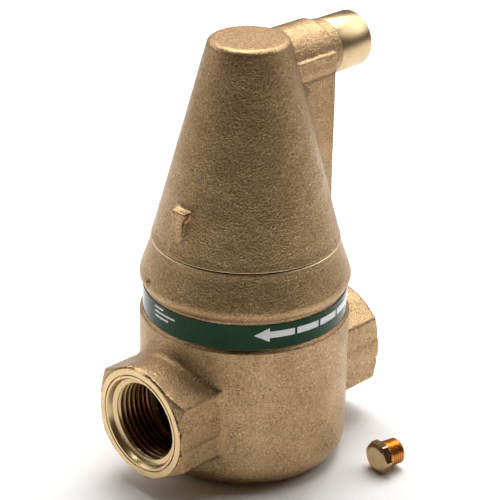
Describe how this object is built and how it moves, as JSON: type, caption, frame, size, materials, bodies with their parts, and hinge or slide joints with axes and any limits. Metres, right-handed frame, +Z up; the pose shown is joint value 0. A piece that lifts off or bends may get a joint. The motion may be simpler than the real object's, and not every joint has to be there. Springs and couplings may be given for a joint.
{
  "type": "air separator",
  "caption": "In-line air separator with threaded ports, a conical air chamber and a float-operated vent that lets gathered air out.",
  "frame": {"origin": "middle of the flat base, on the body's vertical axis", "axes": "+Z up along the body's axis; +X along the port axis, towards the side the vent arm points to"},
  "size_m": [0.1054, 0.0949, 0.1592],
  "materials": {
    "cast_brass_body": "satin",
    "cast_brass_cone": "satin",
    "label_film": "gloss",
    "turned_brass": "satin",
    "seal_rubber": "matte",
    "stainless_sheet": "satin",
    "white_plastic": "matte",
    "spring_steel": "satin",
    "float_plastic": "matte",
    "stainless_rod": "satin"
  },
  "bodies": {
    "housing": {"separator_body": "cast_brass_body", "air_chamber": "cast_brass_cone", "label_band": "label_film", "body_o_ring": "seal_rubber", "ring_basket": "stainless_sheet", "basket_lid": "stainless_sheet", "packing_rings": "stainless_sheet", "float_guard": "white_plastic", "guard_ring": "spring_steel", "lever_pin": "stainless_rod", "pin_clips": "spring_steel", "vent_bracket": "stainless_sheet", "bracket_screws": "stainless_rod", "vent_cartridge": "turned_brass", "cartridge_o_ring": "seal_rubber", "valve_guide": "white_plastic", "valve_spring": "spring_steel"},
    "float": {"float_base": "float_plastic", "float_dome": "float_plastic", "float_stem": "stainless_rod", "stem_clips": "spring_steel", "link_pin": "stainless_rod"},
    "lever": {"valve_lever": "white_plastic"},
    "valve": {"valve_stem": "turned_brass", "valve_disc": "seal_rubber"},
    "plug": {"vent_plug": "turned_brass"}
  },
  "joints": [
    {"name": "float_lift", "type": "slide", "parent": "housing", "child": "float", "axis": [0, 0, 1], "range_m": [0, 0.006]},
    {"name": "lever_turn", "type": "hinge", "parent": "housing", "child": "lever", "pos_m": [0.014, 0, 0.141], "axis": [0, 1, 0], "range_deg": [0, 23.3]},
    {"name": "valve_slide", "type": "slide", "parent": "housing", "child": "valve", "axis": [1, 0, 0], "range_m": [0, 0.00238], "deforming": ["valve_spring"]},
    {"name": "plug_lift", "type": "slide", "parent": "housing", "child": "plug", "axis": [0, 0, 1], "range_m": [0, 0.06]}
  ],
  "couplings": [
    {"joint": "lever_turn", "follows": "float_lift", "rad_per_m": 67.5},
    {"joint": "valve_slide", "follows": "float_lift", "ratio": 0.394}
  ]
}
